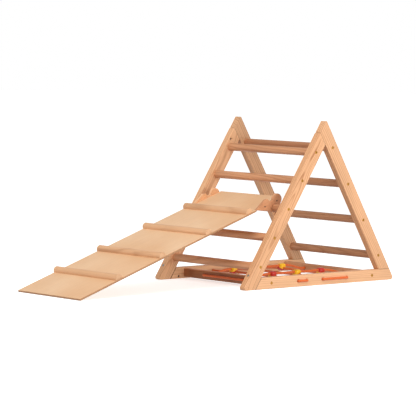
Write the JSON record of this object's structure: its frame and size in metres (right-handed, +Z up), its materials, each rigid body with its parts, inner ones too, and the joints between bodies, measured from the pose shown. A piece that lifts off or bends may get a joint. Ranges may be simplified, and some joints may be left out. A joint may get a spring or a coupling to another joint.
{
  "type": "climbing triangle with ramp",
  "caption": "Low wooden climbing frame for toddlers: a rigid triangle of rungs with a cleated ramp hooked over one rung and a rope net laced through its base.",
  "frame": {"origin": "on the floor, under the middle of the whole outline (ramp and triangle together)", "axes": "+X horizontal, up the ramp towards the triangle; +Y to the climber's left; +Z up"},
  "size_m": [1.8024, 0.625, 0.74],
  "materials": {
    "beech_frame": "clear varnish, satin",
    "beech_rung": "clear varnish, satin",
    "beech_dowel": "plain",
    "beech_hook_plate": "clear varnish, satin",
    "birch_plywood": "clear varnish, satin",
    "brass_screw": "satin, brass-plated",
    "steel_bolt": "zinc",
    "steel_screw": "zinc",
    "black_screw": "black",
    "orange_rope": "braided",
    "yellow_plastic": "moulded, glossy",
    "red_plastic": "moulded, glossy"
  },
  "bodies": {
    "frame": {"clamp_screws": "steel_screw", "climb_side_rung_1": "beech_rung", "climb_side_rung_2": "beech_rung", "climb_side_rung_3": "beech_rung", "climb_side_rung_4": "beech_rung", "corner_barrel_nuts": "steel_bolt", "corner_bolts": "steel_bolt", "corner_dowels": "beech_dowel", "cross_rope": "orange_rope", "crossbar_screws": "brass_screw", "front_crossbar": "beech_frame", "left_base_rail": "beech_frame", "left_climb_side_leg": "beech_frame", "left_rail_end_knot": "orange_rope", "left_ramp_side_leg": "beech_frame", "left_rear_end_knot": "orange_rope", "long_rope": "orange_rope", "net_clamp_1_lower": "yellow_plastic", "net_clamp_1_upper": "red_plastic", "net_clamp_2_lower": "red_plastic", "net_clamp_2_upper": "yellow_plastic", "net_clamp_3_lower": "yellow_plastic", "net_clamp_3_upper": "red_plastic", "net_clamp_4_lower": "red_plastic", "net_clamp_4_upper": "yellow_plastic", "net_clamp_5_lower": "yellow_plastic", "net_clamp_5_upper": "red_plastic", "net_clamp_6_lower": "red_plastic", "net_clamp_6_upper": "yellow_plastic", "ramp_side_rung_1": "beech_rung", "ramp_side_rung_2": "beech_rung", "ramp_side_rung_3": "beech_rung", "ramp_side_rung_4": "beech_rung", "ramp_side_rung_5": "beech_rung", "rear_crossbar": "beech_frame", "right_base_rail": "beech_frame", "right_climb_side_leg": "beech_frame", "right_rail_end_knot": "orange_rope", "right_ramp_side_leg": "beech_frame", "right_rear_end_knot": "orange_rope", "rung_screws": "brass_screw"},
    "ramp": {"cleat_screws": "steel_screw", "hook_plate_screws": "black_screw", "left_hook_plate": "beech_hook_plate", "ramp_board": "birch_plywood", "ramp_cleat_1": "birch_plywood", "ramp_cleat_2": "birch_plywood", "ramp_cleat_3": "birch_plywood", "ramp_cleat_4": "birch_plywood", "right_hook_plate": "beech_hook_plate"}
  },
  "joints": [
    {"name": "ramp_hook_hinge", "type": "hinge", "parent": "frame", "child": "ramp", "pos_m": [0.2183, 0, 0.34992], "axis": [0, 1, 0], "range_deg": [0, 60]}
  ]
}
